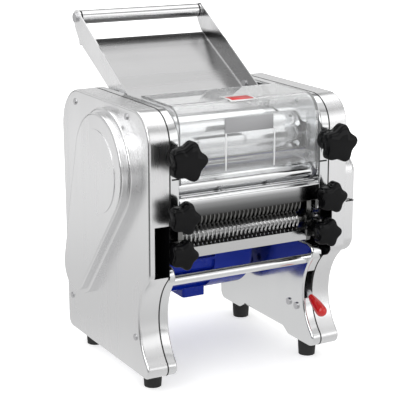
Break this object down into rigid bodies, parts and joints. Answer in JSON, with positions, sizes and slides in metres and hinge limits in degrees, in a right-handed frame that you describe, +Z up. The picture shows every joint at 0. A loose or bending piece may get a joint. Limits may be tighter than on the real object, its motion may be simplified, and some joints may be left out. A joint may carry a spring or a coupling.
{
  "type": "electric pasta maker",
  "caption": "Bench-top electric pasta maker with sheeting rollers, a removable pasta cutter, a clear guard and a feed tray.",
  "frame": {"origin": "on the table under the middle of the outer box", "axes": "+X to the machine's right as seen from the front, -Y to the front (cutter, knobs and guard), +Z up"},
  "size_m": [0.323, 0.357, 0.448],
  "materials": {
    "polished_steel": "mirror-polished stainless steel",
    "cover_steel": "satin stainless steel",
    "frame_steel": "zinc-plated steel plate",
    "machined_steel": "turned steel",
    "roller_steel": "ground and polished steel",
    "bronze": "sintered bronze",
    "black_plastic": "satin black",
    "clear_plastic": "clear",
    "red_plastic": "glossy red",
    "blue_paint": "glossy blue",
    "rubber": "matt black",
    "belt_rubber": "matt black"
  },
  "bodies": {
    "frame": {"left_frame_plate": "frame_steel", "right_frame_plate": "frame_steel", "left_inner_casing": "polished_steel", "right_inner_casing": "polished_steel", "left_outer_cover": "cover_steel", "right_outer_cover": "cover_steel", "cover_standoffs": "machined_steel", "foot_brackets": "frame_steel", "rubber_feet": "rubber", "tie_rods": "machined_steel", "frame_bolts": "machined_steel", "roller_bushes": "bronze", "gap_springs": "machined_steel", "idler_axles": "machined_steel", "layshaft_bush": "bronze", "drive_belt": "belt_rubber", "motor_housing": "blue_paint", "motor_bell": "blue_paint", "fan_cover": "blue_paint", "terminal_box": "blue_paint", "knob_studs": "machined_steel", "feed_tray": "polished_steel", "handle_axle": "machined_steel", "casing_screws": "machined_steel", "guard": "clear_plastic", "roller_scraper": "polished_steel", "cross_plate": "polished_steel", "rear_panel": "cover_steel", "cable_gland": "black_plastic", "switch_body": "black_plastic"},
    "rear_roller": {"rear_roller": "roller_steel", "rear_roller_gear": "machined_steel", "driven_gear": "machined_steel"},
    "front_carriage": {"bearing_blocks": "machined_steel"},
    "front_roller": {"front_roller": "roller_steel", "front_roller_gear": "machined_steel"},
    "left_gap_screw": {"left_gap_knob": "black_plastic", "left_gap_spindle": "machined_steel"},
    "right_gap_screw": {"right_gap_knob": "black_plastic", "right_gap_spindle": "machined_steel"},
    "upper_idler": {"upper_idler_gear": "machined_steel"},
    "lower_idler": {"lower_idler_gear": "machined_steel"},
    "layshaft": {"layshaft": "machined_steel", "big_pulley": "machined_steel"},
    "motor_rotor": {"motor_shaft": "machined_steel", "motor_pulley": "machined_steel", "cooling_fan": "black_plastic"},
    "cutter_unit": {"cutter_end_plates": "machined_steel", "cutter_bars": "machined_steel", "cutter_combs": "black_plastic"},
    "upper_cutter": {"upper_cutter_roller": "machined_steel"},
    "lower_cutter": {"lower_cutter_roller": "machined_steel", "cutter_drive_gear": "machined_steel"},
    "left_cutter_knob": {"left_cutter_knob": "black_plastic"},
    "right_cutter_knob": {"right_cutter_knob": "black_plastic"},
    "left_plate_knob": {"left_plate_knob": "black_plastic"},
    "right_plate_knob": {"right_plate_knob": "black_plastic"},
    "handle_tube": {"handle_tube": "polished_steel"},
    "switch_lever": {"switch_lever": "machined_steel", "switch_grip": "red_plastic"}
  },
  "joints": [
    {"name": "rear_roller_spin", "type": "hinge", "parent": "frame", "child": "rear_roller", "pos_m": [0, -0.018, 0.3049], "axis": [1, 0, 0], "continuous": true},
    {"name": "gap_slide", "type": "slide", "parent": "frame", "child": "front_carriage", "axis": [0, -1, 0], "range_m": [0, 0.003]},
    {"name": "front_roller_spin", "type": "hinge", "parent": "front_carriage", "child": "front_roller", "pos_m": [0, -0.072, 0.3049], "axis": [1, 0, 0], "continuous": true},
    {"name": "left_gap_turn", "type": "hinge", "parent": "frame", "child": "left_gap_screw", "pos_m": [-0.1068, -0.1785, 0.3049], "axis": [0, -1, 0], "range_deg": [0, 720]},
    {"name": "right_gap_turn", "type": "hinge", "parent": "frame", "child": "right_gap_screw", "pos_m": [0.1068, -0.1785, 0.3049], "axis": [0, -1, 0], "range_deg": [0, 720]},
    {"name": "upper_idler_spin", "type": "hinge", "parent": "frame", "child": "upper_idler", "pos_m": [0, -0.03001, 0.24443], "axis": [1, 0, 0], "continuous": true},
    {"name": "lower_idler_spin", "type": "hinge", "parent": "frame", "child": "lower_idler", "pos_m": [0, -0.06685, 0.195], "axis": [1, 0, 0], "continuous": true},
    {"name": "layshaft_spin", "type": "hinge", "parent": "frame", "child": "layshaft", "pos_m": [0, -0.03123, 0.27342], "axis": [1, 0, 0], "continuous": true},
    {"name": "motor_spin", "type": "hinge", "parent": "frame", "child": "motor_rotor", "pos_m": [0, 0.05, 0.125], "axis": [1, 0, 0], "continuous": true},
    {"name": "cutter_slide", "type": "slide", "parent": "frame", "child": "cutter_unit", "axis": [0, -1, 0], "range_m": [0, 0.009]},
    {"name": "upper_cutter_spin", "type": "hinge", "parent": "cutter_unit", "child": "upper_cutter", "pos_m": [0, -0.106, 0.21907], "axis": [1, 0, 0], "continuous": true},
    {"name": "lower_cutter_spin", "type": "hinge", "parent": "cutter_unit", "child": "lower_cutter", "pos_m": [0, -0.106, 0.195], "axis": [1, 0, 0], "continuous": true},
    {"name": "left_cutter_knob_turn", "type": "hinge", "parent": "cutter_unit", "child": "left_cutter_knob", "pos_m": [-0.1042, -0.1617, 0.1862], "axis": [0, -1, 0], "continuous": true},
    {"name": "right_cutter_knob_turn", "type": "hinge", "parent": "cutter_unit", "child": "right_cutter_knob", "pos_m": [0.1042, -0.1617, 0.1862], "axis": [0, -1, 0], "continuous": true},
    {"name": "left_plate_knob_turn", "type": "hinge", "parent": "frame", "child": "left_plate_knob", "pos_m": [-0.1059, -0.1676, 0.2335], "axis": [0, -1, 0], "continuous": true},
    {"name": "right_plate_knob_turn", "type": "hinge", "parent": "frame", "child": "right_plate_knob", "pos_m": [0.1059, -0.1676, 0.2335], "axis": [0, -1, 0], "continuous": true},
    {"name": "handle_tube_spin", "type": "hinge", "parent": "frame", "child": "handle_tube", "pos_m": [0, 0.1685, 0.438], "axis": [1, 0, 0], "continuous": true},
    {"name": "switch_swing", "type": "hinge", "parent": "frame", "child": "switch_lever", "pos_m": [0.107, -0.084, 0.104], "axis": [-1, 0, 0], "range_deg": [0, 42]}
  ],
  "couplings": [
    {"joint": "front_roller_spin", "follows": "rear_roller_spin", "ratio": -1},
    {"joint": "layshaft_spin", "follows": "rear_roller_spin", "ratio": -1.8333},
    {"joint": "motor_spin", "follows": "rear_roller_spin", "ratio": -7.3333},
    {"joint": "upper_idler_spin", "follows": "rear_roller_spin", "ratio": -0.78261},
    {"joint": "lower_idler_spin", "follows": "rear_roller_spin", "ratio": 1},
    {"joint": "lower_cutter_spin", "follows": "rear_roller_spin", "ratio": -2.25},
    {"joint": "upper_cutter_spin", "follows": "rear_roller_spin", "ratio": 2.25},
    {"joint": "left_gap_turn", "follows": "gap_slide", "rad_per_m": 4188.8},
    {"joint": "right_gap_turn", "follows": "gap_slide", "rad_per_m": 4188.8}
  ]
}
